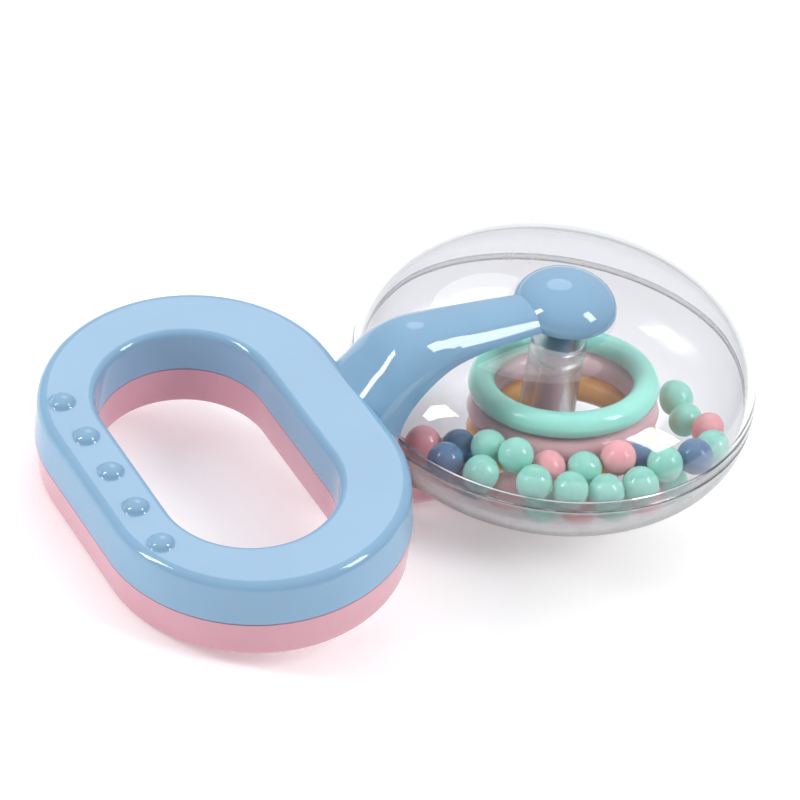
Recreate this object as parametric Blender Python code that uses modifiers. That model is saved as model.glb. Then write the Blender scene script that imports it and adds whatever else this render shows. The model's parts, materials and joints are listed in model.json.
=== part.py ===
"""Baby rattle: an oval grip ring in two half shells, whose two arms hold a clear, turning head with
three loose rings and a heap of beads inside.

Lengths are written in millimetres, and each shape is scaled to metres as it is made. The handle frame
has the grip ring's middle plane at z = 0 and +X towards the head. The head frame sits at the head's
centre with its Z along the pivot pins. The whole assembly is tipped at the end so that it rests on a
table as the real one does, on one long side of the ring and on the bend of the lower arm.
"""

import math

import bmesh
import bpy
import numpy as np
from mathutils import Matrix, Vector

MM = 0.001
GAP = 0.3

# Grip ring
RING_HALF_HEIGHT = 7.9
RING_RADIUS = 26.2
RING_STRAIGHT = 11.5
RING_CENTRE_X = 1.2
HOLE_RADIUS = 14.5
HOLE_STRAIGHT = 12.0
OUTER_FILLET = 1.8
HOLE_FILLET = 1.3
RING_WALL = 2.2
RING_DRAFT = 0.7
ARC_STEPS = 16

# Five nubs along the side away from the head
NUB_X = -19.1
NUB_PITCH = 9.3
NUB_RADIUS = 1.9
NUB_HEIGHT = 1.2

# Locating pegs inside the ring, and their sockets
PEG_RADIUS = 1.6
PEG_DEPTH = 3.0
SOCKET_RADIUS = 3.2
PEG_SPOTS = [(-19.4, -11.0), (-19.4, 11.0), (21.0, -11.0), (21.0, 11.0)]

# Clear head
HEAD_CENTRE = (65.5, 2.0, -5.9)
HEAD_TILT = math.radians(5.4)
HEAD_RADIUS = 35.1
HEAD_HALF_HEIGHT = 16.2
HEAD_POWER = 2.53
HEAD_WALL = 1.5
SEAT_DIP = 1.7
LINING_DIP = 1.1
SEAT_FLAT = 4.0
SEAT_REACH = 28.0
LAP_HEIGHT = 0.9
TUBE_RADIUS = 4.9
TUBE_BORE = 2.6
TUBE_JOINT = 3.9
TUBE_SPIGOT = 2.2
HEAD_STEPS = 36
RUNNING_GAP = 0.6

# Bosses and pivot pins
BOSS_RADIUS = 8.9
BOSS_HEIGHT = 5.7
BOSS_EDGE = 0.2
PIN_RADIUS = 2.2
UPPER_PIN_END = 4.6
LOWER_PIN_END = 3.2

# Arms, as stations along the head's X: (x, crown height, half width, crown drop, share of the facets)
ARM_ROOT_UPPER = [
    (-43.5, 7.6, 8.4, 4.0, 0.0),
    (-40.5, 10.8, 8.2, 5.5, 0.0),
    (-38.0, 13.7, 8.1, 6.6, 0.0),
    (-34.8, 17.3, 7.9, 7.0, 0.0),
    (-30.5, 19.3, 7.6, 6.4, 0.5),
]
ARM_ROOT_LOWER = [
    (-43.5, 4.6, 8.4, 4.0, 0.0),
    (-40.5, 8.2, 8.2, 5.5, 0.0),
    (-38.0, 12.0, 8.0, 6.6, 0.0),
    (-34.8, 16.2, 7.8, 6.8, 0.0),
    (-30.5, 18.2, 7.5, 6.2, 0.5),
]
ARM_REACH = [
    (-24.4, 19.1, 6.8, 4.0, 1.0),
    (-17.3, 18.6, 6.4, 3.5, 1.0),
    (-10.2, 18.1, 5.9, 3.3, 1.0),
    (-3.0, 17.5, 5.5, 3.3, 1.0),
]
ARM_BASE = -3.0
CROWN_STEPS = 12
CREASE_REACH = 0.65
CREASE_HEIGHT = 0.7
CREASE_SHARPNESS = 30.0

# Loose rings, as a leaning stack round the tube
LOOSE_RING_RADIUS = 14.15
LOOSE_RING_SECTION = 2.2
STACK_PITCH = 4.65
STACK_LEAN = math.radians(-10.5)
STACK_TOP = (0.0, -3.6, 0.7)

# Beads, layer by layer along the heap: (azimuth, distance from the axis, height, colour)
BEAD_RADIUS = 3.0
WALL_LAYER = [
    (-155.8, 30.3, -0.9, "bead_blue"),
    (-143.0, 30.3, 0.0, "mint"),
    (-126.0, 30.3, 1.0, "mint"),
    (-114.4, 30.3, 0.4, "mint"),
    (-102.7, 30.3, -0.3, "mint"),
    (-91.0, 30.3, 0.0, "mint"),
    (-79.8, 28.9, 1.2, "mint"),
    (-68.2, 30.3, 0.7, "bead_blue"),
    (-54.0, 30.3, -2.4, "mint"),
]
INNER_LAYER = [
    (-160.0, 24.0, -3.0, "bead_blue"),
    (-147.0, 23.7, -0.1, "mint"),
    (-134.3, 25.8, 2.0, "mint"),
    (-121.7, 24.5, -0.3, "bead_pink"),
    (-107.5, 24.6, -0.2, "mint"),
    (-93.5, 24.4, 1.2, "bead_pink"),
    (-80.2, 23.7, -1.7, "bead_blue"),
]
FLOOR_LAYER = [
    (-171.0, 27.5, -3.9, "bead_pink"),
    (-149.0, 26.0, -6.3, "bead_blue"),
    (-135.0, 27.4, -4.4, "bead_pink"),
    (-121.8, 27.4, -6.5, "mint"),
    (-108.8, 27.4, -6.5, "bead_pink"),
    (-96.0, 27.4, -6.5, "mint"),
    (-83.2, 27.4, -6.5, "bead_pink"),
    (-69.8, 27.4, -6.5, "mint"),
    (-38.0, 28.1, -5.6, "bead_pink"),
    (-27.0, 24.3, -8.1, "mint"),
    (-12.5, 23.9, -8.4, "mint"),
]

COLOURS = {
    "blue": (0.36, 0.56, 0.78, 1.0),
    "pink": (0.83, 0.43, 0.52, 1.0),
    "clear": (0.92, 0.95, 0.97, 1.0),
    "mint": (0.33, 0.74, 0.58, 1.0),
    "yellow": (0.90, 0.68, 0.28, 1.0),
    "bead_pink": (0.90, 0.36, 0.42, 1.0),
    "bead_blue": (0.23, 0.35, 0.58, 1.0),
}


def clear_scene():
    for obj in list(bpy.data.objects):
        bpy.data.objects.remove(obj, do_unlink=True)


def new_collection(name):
    collection = bpy.data.collections.new(name)
    bpy.context.scene.collection.children.link(collection)
    return collection


def plastic(name, roughness=0.22, transmission=0.0):
    material = bpy.data.materials.new(name)
    material.use_nodes = True
    shader = material.node_tree.nodes["Principled BSDF"]
    shader.inputs["Base Color"].default_value = COLOURS[name]
    shader.inputs["Roughness"].default_value = roughness
    shader.inputs["Metallic"].default_value = 0.0
    shader.inputs["Transmission Weight"].default_value = transmission
    return material


def object_from(name, bm, collection, material=None):
    """A linked object from a bmesh that was drawn in millimetres."""
    bmesh.ops.scale(bm, vec=(MM, MM, MM), verts=bm.verts)
    mesh = bpy.data.meshes.new(name)
    bm.to_mesh(mesh)
    bm.free()
    obj = bpy.data.objects.new(name, mesh)
    collection.objects.link(obj)
    if material:
        mesh.materials.append(material)
    return obj


def evaluated_mesh(obj):
    """The object's mesh with its modifiers or curve settings applied, and its loose caps welded."""
    bpy.context.view_layer.update()
    graph = bpy.context.evaluated_depsgraph_get()
    mesh = bpy.data.meshes.new_from_object(obj.evaluated_get(graph), depsgraph=graph)
    bm = bmesh.new()
    bm.from_mesh(mesh)
    bmesh.ops.remove_doubles(bm, verts=bm.verts, dist=1e-6)
    bm.to_mesh(mesh)
    bm.free()
    return mesh


def bake(obj):
    """Replaces the object's mesh with the result of its modifiers."""
    mesh = evaluated_mesh(obj)
    obj.modifiers.clear()
    obj.data = mesh


def combine(obj, other, operation):
    """Boolean of two mesh objects with the EXACT solver, applied at once. The other one is used up."""
    modifier = obj.modifiers.new(operation.lower(), "BOOLEAN")
    modifier.operation = operation
    modifier.solver = "EXACT"
    modifier.object = other
    bake(obj)
    bpy.data.objects.remove(other, do_unlink=True)


def smooth(obj, angle=40.0):
    obj.data.shade_smooth()
    obj.data.set_sharp_from_angle(angle=math.radians(angle))


def oval_points(radius, straight, centre_x=0.0):
    """An oval outline: half circles at its two ends, joined by straight sides along Y."""
    points = []
    for side in (1.0, -1.0):
        for step in range(ARC_STEPS + 1):
            angle = math.pi * step / ARC_STEPS
            x = centre_x + side * radius * math.cos(angle)
            y = side * (straight + radius * math.sin(angle))
            points.append((x, y))
    return points


def oval_block(name, outlines, half_height, fillet, collection):
    """A flat block bounded by oval outlines, whose upper and lower edges are rounded by the fillet."""
    curve = bpy.data.curves.new(name, "CURVE")
    curve.dimensions = "2D"
    curve.fill_mode = "BOTH"
    curve.extrude = (half_height - fillet) * MM
    curve.bevel_depth = fillet * MM
    curve.bevel_resolution = 2
    curve.offset = -fillet * MM
    for outline in outlines:
        spline = curve.splines.new("POLY")
        spline.points.add(len(outline) - 1)
        for point, (x, y) in zip(spline.points, outline):
            point.co = (x * MM, y * MM, 0.0, 1.0)
        spline.use_cyclic_u = True
    drawn = bpy.data.objects.new(name + "_outline", curve)
    collection.objects.link(drawn)
    block = bpy.data.objects.new(name, evaluated_mesh(drawn))
    block.matrix_world = drawn.matrix_world
    collection.objects.link(block)
    bpy.data.objects.remove(drawn, do_unlink=True)
    return block


def draft_oval(block):
    """Leans the ring's outer wall inwards, away from the seam, as the mould needs."""
    for vertex in block.data.vertices:
        x, y, z = vertex.co / MM
        spine_y = min(max(y, -RING_STRAIGHT), RING_STRAIGHT)
        inward = Vector((RING_CENTRE_X - x, spine_y - y, 0.0))
        if inward.length > RING_RADIUS / 2.0:
            vertex.co += inward.normalized() * RING_DRAFT * abs(z) / RING_HALF_HEIGHT * MM


def keep_side(obj, height, upper):
    """Cuts the mesh at a level and keeps the part above or below it, closed with a flat face."""
    bm = bmesh.new()
    bm.from_mesh(obj.data)
    cut = bmesh.ops.bisect_plane(
        bm,
        geom=bm.verts[:] + bm.edges[:] + bm.faces[:],
        plane_co=(0.0, 0.0, height * MM),
        plane_no=(0.0, 0.0, -1.0 if upper else 1.0),
        clear_outer=True,
    )
    rim = [item for item in cut["geom_cut"] if isinstance(item, bmesh.types.BMEdge)]
    bmesh.ops.triangle_fill(bm, use_beauty=True, edges=rim)
    bmesh.ops.recalc_face_normals(bm, faces=bm.faces)
    bm.to_mesh(obj.data)
    bm.free()


def turned(name, profile, collection, steps, material=None):
    """A turned solid: a closed profile of (radius, height) points, swept once round Z."""
    bm = bmesh.new()
    corners = [bm.verts.new((radius, 0.0, height)) for radius, height in profile]
    for first, second in zip(corners, corners[1:] + corners[:1]):
        if first.co.x > 0.0 or second.co.x > 0.0:
            bm.edges.new((first, second))
    obj = object_from(name, bm, collection, material)
    screw = obj.modifiers.new("turn", "SCREW")
    screw.axis = "Z"
    screw.angle = 2.0 * math.pi
    screw.steps = steps
    screw.render_steps = steps
    screw.use_merge_vertices = True
    screw.merge_threshold = 1e-6
    return obj


def rod(name, radius, low, high, spot, collection, sides=16):
    bm = bmesh.new()
    place = Matrix.Translation((spot[0], spot[1], (low + high) / 2.0))
    bmesh.ops.create_cone(
        bm,
        cap_ends=True,
        segments=sides,
        radius1=radius,
        radius2=radius,
        depth=high - low,
        matrix=place,
    )
    return object_from(name, bm, collection)


def dome_height(radius, shell_radius, shell_height, dip):
    """Height of the head's skin above its middle plane, flattened by the given dip round the pivot."""
    fraction = min(radius / shell_radius, 1.0)
    height = shell_height * (1.0 - fraction**HEAD_POWER) ** (1.0 / HEAD_POWER)
    near = min(max((radius - SEAT_FLAT) / (SEAT_REACH - SEAT_FLAT), 0.0), 1.0)
    blend = near * near * (3.0 - 2.0 * near)
    return height - dip * (1.0 - blend)


def dome_curve(shell_radius, shell_height, dip, inner_radius, start, steps=12):
    """(radius, height) points of the skin, from the inner radius out and down to the start height."""
    points = []
    for step in range(steps + 1):
        angle = 0.5 * math.pi * step / steps
        radius = inner_radius + (shell_radius - inner_radius) * math.sin(angle)
        height = dome_height(radius, shell_radius, shell_height, dip)
        if height > start + 0.6:
            points.append((radius, height))
    points.append((shell_radius, start))
    return points


def dome_profile(lap_out, lap_in, tube_end, spigot):
    """Closed section of one clear half with its rim below: skin, lapped rim, inner face and tube."""
    inner_radius = HEAD_RADIUS - HEAD_WALL
    inner_height = HEAD_HALF_HEIGHT - HEAD_WALL
    middle = HEAD_RADIUS - HEAD_WALL / 2.0
    outside = dome_curve(HEAD_RADIUS, HEAD_HALF_HEIGHT, SEAT_DIP, TUBE_BORE, max(lap_out, 0.0))
    inside = dome_curve(inner_radius, inner_height, LINING_DIP, TUBE_RADIUS, max(lap_in, 0.0))
    rim = []
    if lap_out < 0.0:
        rim.append((HEAD_RADIUS, lap_out))
    rim += [(middle + GAP / 2.0, lap_out), (middle + GAP / 2.0, lap_in)]
    if lap_in < 0.0:
        rim = [(middle - GAP / 2.0, lap_out), (middle - GAP / 2.0, lap_in), (inner_radius, lap_in)]
    return outside + rim + inside[::-1] + spigot + [(TUBE_BORE, tube_end)]


def crown_point(angle, half_width, drop, share):
    """A point of the arm's crown above its foot: an ellipse, or the faceted form found near the boss,
    which has a low arched top, a crease on each side and a flat facet from the crease to the foot."""
    across, upwards = abs(math.cos(angle)), math.sin(angle)
    round_reach = ((across / half_width) ** 2 + (upwards / drop) ** 2) ** -0.5
    crease_y, crease_z = CREASE_REACH * half_width, CREASE_HEIGHT * drop
    facet = half_width * crease_z / (crease_z * across + (half_width - crease_y) * upwards)
    arch_share = (1.0 - CREASE_HEIGHT**2) / crease_y**2
    arch = (arch_share * across**2 + (upwards / drop) ** 2) ** -0.5
    faceted_reach = (facet**-CREASE_SHARPNESS + arch**-CREASE_SHARPNESS) ** (-1.0 / CREASE_SHARPNESS)
    reach = (1.0 - share) * round_reach + share * faceted_reach
    return reach * math.cos(angle), reach * upwards


def arm_mesh(stations):
    """A loft through the stations: straight flanks from the base, closed by the crown."""
    bm = bmesh.new()
    loops = []
    for x, crown, half_width, drop, share in stations:
        corners = [(-half_width, ARM_BASE)]
        for step in range(CROWN_STEPS + 1):
            angle = math.pi * (1.0 - step / CROWN_STEPS)
            y, z = crown_point(angle, half_width, drop, share)
            corners.append((y, crown - drop + z))
        corners.append((half_width, ARM_BASE))
        loops.append([bm.verts.new((x, y, z)) for y, z in corners])
    for near, far in zip(loops, loops[1:]):
        for index in range(len(near)):
            after = (index + 1) % len(near)
            bm.faces.new((near[index], near[after], far[after], far[index]))
    bm.faces.new(loops[0])
    bm.faces.new(loops[-1][::-1])
    bmesh.ops.recalc_face_normals(bm, faces=bm.faces)
    return bm


def smooth_stations(stations, parts=3):
    """Extra stations between the given ones, on a Catmull-Rom curve through them."""
    rows = [np.array(station) for station in stations]
    padded = [2 * rows[0] - rows[1]] + rows + [2 * rows[-1] - rows[-2]]
    result = []
    for index in range(1, len(padded) - 2):
        before, start, end, after = padded[index - 1 : index + 3]
        for part in range(parts):
            t = part / parts
            curve = 2 * start + (end - before) * t + (2 * before - 5 * start + 4 * end - after) * t**2
            curve = curve + (3 * start - before - 3 * end + after) * t**3
            result.append(tuple(curve / 2))
    result.append(tuple(rows[-1]))
    return result


def to_handle_frame(obj, upper):
    """Moves a mesh drawn in the head frame into the handle frame, turned over for the lower half."""
    place = Matrix.Translation(Vector(HEAD_CENTRE) * MM) @ Matrix.Rotation(HEAD_TILT, 4, "Y")
    if not upper:
        place = place @ Matrix.Rotation(math.pi, 4, "X")
    obj.data.transform(place)


def boss_profile(pin_end):
    """The mushroom boss over its pivot pin, from the crown down the outside to the pin's end."""
    seat = HEAD_HALF_HEIGHT - SEAT_DIP + GAP
    points = []
    for step in range(8):
        angle = 0.5 * math.pi * step / 7
        height = seat + BOSS_EDGE + (BOSS_HEIGHT - BOSS_EDGE) * math.cos(angle)
        points.append((BOSS_RADIUS * math.sin(angle), height))
    points.append((BOSS_RADIUS - BOSS_EDGE, seat))
    points.append((PIN_RADIUS, seat))
    points.append((PIN_RADIUS, pin_end + 0.4))
    points.append((PIN_RADIUS - 0.4, pin_end))
    points.append((0.0, pin_end))
    return points


def head_clearance(collection):
    """The head's outer form grown by the running gap, which the arms must stay out of."""
    grown = RUNNING_GAP
    skin = dome_curve(HEAD_RADIUS + grown, HEAD_HALF_HEIGHT + grown, SEAT_DIP, 0.0, 0.0, steps=16)
    profile = skin + [(radius, -height) for radius, height in skin[-2::-1]]
    solid = turned("head_clearance", profile, collection, 48)
    bake(solid)
    to_handle_frame(solid, True)
    return solid


def ring_block(name, parts, cutters):
    """The grip ring at its full height, solid."""
    outer = oval_points(RING_RADIUS, RING_STRAIGHT, RING_CENTRE_X)
    shell = oval_block(name, [outer], RING_HALF_HEIGHT, OUTER_FILLET, parts)
    draft_oval(shell)
    hole = oval_block(
        name + "_hole",
        [oval_points(HOLE_RADIUS, HOLE_STRAIGHT)],
        2.0 * RING_HALF_HEIGHT,
        0.2,
        cutters,
    )
    combine(shell, hole, "DIFFERENCE")
    bevel = shell.modifiers.new("hole_edges", "BEVEL")
    bevel.width = HOLE_FILLET * MM
    bevel.segments = 3
    bevel.limit_method = "ANGLE"
    bevel.angle_limit = math.radians(60.0)
    bake(shell)
    return shell


def ring_channel(name, collection):
    """The hollow inside both ring halves."""
    outer = oval_points(RING_RADIUS - RING_WALL, RING_STRAIGHT, RING_CENTRE_X)
    inner = oval_points(HOLE_RADIUS + RING_WALL, HOLE_STRAIGHT)
    return oval_block(name, [outer, inner], RING_HALF_HEIGHT - RING_WALL, 0.4, collection)


def handle_half(name, upper, material, parts, cutters):
    """Ring half, arm, boss and pin as one moulding."""
    shell = ring_block(name, parts, cutters)
    root = ARM_ROOT_UPPER if upper else ARM_ROOT_LOWER
    arm = object_from(name + "_arm", arm_mesh(smooth_stations(root + ARM_REACH)), cutters)
    to_handle_frame(arm, upper)
    combine(shell, arm, "UNION")
    combine(shell, head_clearance(cutters), "DIFFERENCE")
    keep_side(shell, GAP / 2.0 if upper else -GAP / 2.0, upper)
    combine(shell, ring_channel(name + "_channel", cutters), "DIFFERENCE")
    pin_end = UPPER_PIN_END if upper else -LOWER_PIN_END
    boss = turned(name + "_boss", boss_profile(pin_end), cutters, 24)
    bake(boss)
    to_handle_frame(boss, upper)
    combine(shell, boss, "UNION")
    shell.data.materials.clear()
    shell.data.materials.append(material)
    return shell


def blue_handle(parts, cutters):
    shell = handle_half("blue_handle_shell", True, plastic("blue"), parts, cutters)
    for spot in PEG_SPOTS:
        peg = rod("peg", PEG_RADIUS, -PEG_DEPTH, RING_HALF_HEIGHT - RING_WALL / 2.0, spot, cutters)
        combine(shell, peg, "UNION")
    for index in range(5):
        bm = bmesh.new()
        bmesh.ops.create_uvsphere(bm, u_segments=12, v_segments=8, radius=NUB_RADIUS)
        bmesh.ops.scale(bm, vec=(1.0, 1.0, NUB_HEIGHT / NUB_RADIUS), verts=bm.verts)
        place = (NUB_X, (index - 2) * NUB_PITCH, RING_HALF_HEIGHT)
        bmesh.ops.translate(bm, vec=place, verts=bm.verts)
        combine(shell, object_from("nub", bm, cutters), "UNION")
    smooth(shell)
    return shell


def pink_handle(parts, cutters):
    shell = handle_half("pink_handle_shell", False, plastic("pink"), parts, cutters)
    floor = -RING_HALF_HEIGHT + RING_WALL / 2.0
    for spot in PEG_SPOTS:
        combine(shell, rod("socket", SOCKET_RADIUS, floor, -2.0 * GAP, spot, cutters), "UNION")
        bore_floor = -PEG_DEPTH - 2.0 * GAP
        combine(shell, rod("bore", PEG_RADIUS + GAP, bore_floor, 2.0, spot, cutters), "DIFFERENCE")
    smooth(shell)
    return shell


def upper_dome(parts, material):
    mouth = TUBE_BORE + GAP + 0.7
    spigot = [
        (TUBE_RADIUS, TUBE_JOINT),
        (mouth, TUBE_JOINT),
        (mouth, TUBE_JOINT + TUBE_SPIGOT),
    ]
    profile = dome_profile(-LAP_HEIGHT, LAP_HEIGHT, TUBE_JOINT + TUBE_SPIGOT, spigot)
    return turned("clear_upper_dome", profile, parts, HEAD_STEPS, material)


def lower_dome(parts, material):
    """Drawn with its rim below like the upper one, then turned over."""
    top = TUBE_JOINT - GAP
    shoulder = TUBE_BORE + 0.7
    spigot = [
        (TUBE_RADIUS - 0.1, -top),
        (shoulder, -top),
        (shoulder, -TUBE_JOINT - TUBE_SPIGOT + GAP),
    ]
    profile = dome_profile(LAP_HEIGHT + GAP, -LAP_HEIGHT + GAP, -TUBE_JOINT - TUBE_SPIGOT + GAP, spigot)
    dome = turned("clear_lower_dome", profile, parts, HEAD_STEPS, material)
    dome.rotation_euler = (math.pi, 0.0, 0.0)
    return dome


def loose_ring(name, level, material, parts):
    """A round ring, drawn as a turned circle. Level 0 is the top of the stack."""
    profile = []
    for step in range(10):
        angle = math.pi / 2.0 - 2.0 * math.pi * step / 10
        radius = LOOSE_RING_RADIUS + LOOSE_RING_SECTION * math.cos(angle)
        profile.append((radius, LOOSE_RING_SECTION * math.sin(angle)))
    ring = turned(name, profile, parts, 36, material)
    lean = Matrix.Rotation(STACK_LEAN, 3, "X")
    centre = Vector(STACK_TOP) - lean @ Vector((0.0, 0.0, STACK_PITCH * level))
    ring.location = centre * MM
    ring.rotation_euler = (STACK_LEAN, 0.0, 0.0)
    return ring


def beads(parts, materials):
    """The heap, layer by layer. Every bead shares one mesh and has its own colour."""
    bm = bmesh.new()
    bmesh.ops.create_icosphere(bm, subdivisions=2, radius=BEAD_RADIUS)
    first = object_from("bead_shape", bm, parts)
    shape = first.data
    bpy.data.objects.remove(first, do_unlink=True)
    shape.materials.append(None)
    made = []
    for azimuth, reach, height, colour in WALL_LAYER + INNER_LAYER + FLOOR_LAYER:
        turn = math.radians(azimuth)
        bead = bpy.data.objects.new(f"bead_{len(made) + 1:02d}", shape)
        bead.location = Vector((reach * math.cos(turn), reach * math.sin(turn), height)) * MM
        parts.objects.link(bead)
        bead.material_slots[0].link = "OBJECT"
        bead.material_slots[0].material = materials[colour]
        made.append(bead)
    return made


def resting_tilt(points):
    """The tilt about Y that brings the ring's far side and the lowest spot under the head level."""
    ring = points[points[:, 0] < RING_RADIUS * MM]
    head_end = points[points[:, 0] >= RING_RADIUS * MM]
    flat, steep = 0.0, math.radians(30.0)
    for _ in range(40):
        tilt = (flat + steep) / 2.0
        upwards = np.array((math.sin(tilt), 0.0, math.cos(tilt)))
        if (ring @ upwards).min() < (head_end @ upwards).min():
            steep = tilt
        else:
            flat = tilt
    return tilt


def world_points(obj):
    mesh = evaluated_mesh(obj)
    flat = np.empty(len(mesh.vertices) * 3)
    mesh.vertices.foreach_get("co", flat)
    matrix = np.array(obj.matrix_world)
    return flat.reshape(-1, 3) @ matrix[:3, :3].T + matrix[:3, 3]


def rest_on_table(root, parts):
    """Tips the rattle onto its two supports, then centres its box over the origin."""
    tilt = resting_tilt(world_points(bpy.data.objects["pink_handle_shell"]))
    root.rotation_euler = (0.0, -tilt, 0.0)
    bpy.context.view_layer.update()
    points = np.concatenate([world_points(obj) for obj in parts.objects if obj.type == "MESH"])
    low, high = points.min(axis=0), points.max(axis=0)
    root.location = (-(low[0] + high[0]) / 2.0, -(low[1] + high[1]) / 2.0, -low[2])
    bpy.context.view_layer.update()


def main():
    clear_scene()
    parts = new_collection("baby_rattle")
    cutters = new_collection("baby_rattle_cutters")
    cutters.hide_render = True

    root = bpy.data.objects.new("rattle_rest", None)
    parts.objects.link(root)
    head = bpy.data.objects.new("head_axis", None)
    head.location = Vector(HEAD_CENTRE) * MM
    head.rotation_euler = (0.0, HEAD_TILT, 0.0)
    head.parent = root
    parts.objects.link(head)

    for shell in (blue_handle(parts, cutters), pink_handle(parts, cutters)):
        shell.parent = root

    clear = plastic("clear", 0.05, 1.0)
    mint = plastic("mint")
    inside = [
        upper_dome(parts, clear),
        lower_dome(parts, clear),
        loose_ring("mint_ring", 0, mint, parts),
        loose_ring("pink_ring", 1, plastic("bead_pink"), parts),
        loose_ring("yellow_ring", 2, plastic("yellow"), parts),
    ]
    bead_materials = {
        "mint": mint,
        "bead_pink": bpy.data.materials["bead_pink"],
        "bead_blue": plastic("bead_blue"),
    }
    inside += beads(parts, bead_materials)
    for piece in inside:
        piece.parent = head
        smooth(piece)
    bpy.context.view_layer.update()
    rest_on_table(root, parts)


main()
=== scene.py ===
import json
import math
import random

import bmesh
import bpy
import numpy as np
from mathutils import Matrix, Vector


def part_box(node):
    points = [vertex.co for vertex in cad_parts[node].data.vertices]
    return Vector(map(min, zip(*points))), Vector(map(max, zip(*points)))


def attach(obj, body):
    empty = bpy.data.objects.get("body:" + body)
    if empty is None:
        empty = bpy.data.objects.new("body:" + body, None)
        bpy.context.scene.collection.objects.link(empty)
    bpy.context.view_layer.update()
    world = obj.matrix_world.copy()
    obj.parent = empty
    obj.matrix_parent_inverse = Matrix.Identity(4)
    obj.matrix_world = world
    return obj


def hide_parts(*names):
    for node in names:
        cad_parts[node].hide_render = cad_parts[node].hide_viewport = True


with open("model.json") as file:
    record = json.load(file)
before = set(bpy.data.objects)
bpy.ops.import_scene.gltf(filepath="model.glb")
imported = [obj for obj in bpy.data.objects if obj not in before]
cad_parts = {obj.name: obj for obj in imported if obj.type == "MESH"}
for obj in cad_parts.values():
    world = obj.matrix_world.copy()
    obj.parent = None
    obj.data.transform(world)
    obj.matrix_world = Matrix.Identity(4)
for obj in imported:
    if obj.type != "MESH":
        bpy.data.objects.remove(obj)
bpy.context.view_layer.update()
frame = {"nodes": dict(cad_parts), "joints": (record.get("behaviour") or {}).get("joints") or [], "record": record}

# Lengths are in millimetres unless a name says otherwise. Shapes are drawn in one of two frames. The handle
# frame has the grip ring's middle plane at z = 0 and its hole at the origin, with +X towards the head. The
# head frame sits at the head's centre with Z along the pivot pins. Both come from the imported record.
MM = 0.001

# Grip ring
RING_HALF_HEIGHT = 7.9
RING_RADIUS = 26.2
RING_STRAIGHT = 11.5
RING_CENTRE_X = 1.2
RING_DRAFT = 0.7
HOLE_RADIUS = 14.5
HOLE_STRAIGHT = 12.0
HOLE_DRAFT = 0.25
OUTER_FILLET = 1.8
OUTER_FILLET_STEPS = 12
HOLE_FILLET = 1.35
HOLE_FILLET_STEPS = 10
SEAM_HALF_GAP = 0.05
SEAM_BEVEL = 0.2
SEAM_BEVEL_MIDDLE = 0.3 * SEAM_BEVEL
TOP_SPOT_X = 19.3
TOP_STEPS = 8
WALL_STEPS = 6
ARC_COLUMNS = 72
STRAIGHT_COLUMNS = 10
SEAM_BLOCK = (200.0, 120.0, 60.0)
SEAM_BLOCK_X = 30.0

# Nubs on the blue half
NUB_X = -19.1
NUB_PITCH = 9.3
NUB_COUNT = 5
NUB_RADIUS = 2.0
NUB_HEIGHT = 1.2
NUB_FOOT = 2.35
NUB_SHOULDER = 0.86 * NUB_RADIUS
NUB_FOOT_SINK = 0.012
NUB_ROOT_DEPTH = 0.6
NUB_STEPS = 10
NUB_COLUMNS = 48

# Clear head
HEAD_RADIUS = 35.1
HEAD_HALF_HEIGHT = 16.2
HEAD_POWER = 2.53
HEAD_WALL = 1.5
LINING_RADIUS = HEAD_RADIUS - HEAD_WALL
LINING_HALF_HEIGHT = HEAD_HALF_HEIGHT - HEAD_WALL
LAP_RADIUS = HEAD_RADIUS - HEAD_WALL / 2.0
SEAT_DIP = 1.7
LINING_DIP = 1.1
SEAT_FLAT = 4.0
SEAT_REACH = 28.0
BAND_TOP = 1.25
BAND_FOOT = -1.35
BAND_PROUD = 0.06
BAND_RADIUS = HEAD_RADIUS + BAND_PROUD
LAP_HEIGHT = 0.9
LAP_GAP = 0.08
UPPER_LIP_FOOT = -0.7
LOWER_LIP_TOP = 0.78
LIP_STEP = 0.12
TUBE_RADIUS = 4.9
TUBE_BORE = 2.6
TUBE_JOINT = 3.9
TUBE_SPIGOT = 2.2
TUBE_COLLAR = 0.1
HEAD_COLUMNS = 160
HEAD_STEPS = 64
CLEARANCE_STEPS = 60
RUNNING_GAP = 0.6

# Bosses and pivot pins
BOSS_RADIUS = 8.9
BOSS_HEIGHT = 5.7
BOSS_EDGE = 0.2
BOSS_SEAT_GAP = 0.3
BOSS_CROWN_STEPS = 32
BOSS_EDGE_STEPS = 6
BOSS_COLUMNS = 112
PIN_RADIUS = 2.2
PIN_FILLET = 0.3
UPPER_PIN_END = 4.6
LOWER_PIN_END = 3.2

# Arms, as stations along the head's X: (x, crown height, half width, crown drop, share of the facets)
ARM_ROOT_UPPER = [
    (-43.5, 7.6, 8.4, 4.0, 0.0),
    (-40.5, 10.8, 8.2, 5.5, 0.0),
    (-38.0, 13.7, 8.1, 6.6, 0.0),
    (-34.8, 17.3, 7.9, 7.0, 0.0),
    (-30.5, 19.3, 7.6, 6.4, 0.5),
]
ARM_ROOT_LOWER = [
    (-43.5, 4.6, 8.4, 4.0, 0.0),
    (-40.5, 8.2, 8.2, 5.5, 0.0),
    (-38.0, 12.0, 8.0, 6.6, 0.0),
    (-34.8, 16.2, 7.8, 6.8, 0.0),
    (-30.5, 18.2, 7.5, 6.2, 0.5),
]
ARM_REACH = [
    (-24.4, 19.1, 6.8, 4.0, 1.0),
    (-17.3, 18.6, 6.4, 3.5, 1.0),
    (-10.2, 18.1, 5.9, 3.3, 1.0),
    (-3.0, 17.5, 5.5, 3.3, 1.0),
]
ARM_BASE = -3.0
ARM_CROWN_STEPS = 72
CREASE_REACH = 0.65
CREASE_HEIGHT = 0.7
CREASE_SHARPNESS = 40.0
ARM_STATION_PARTS = 10

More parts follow.
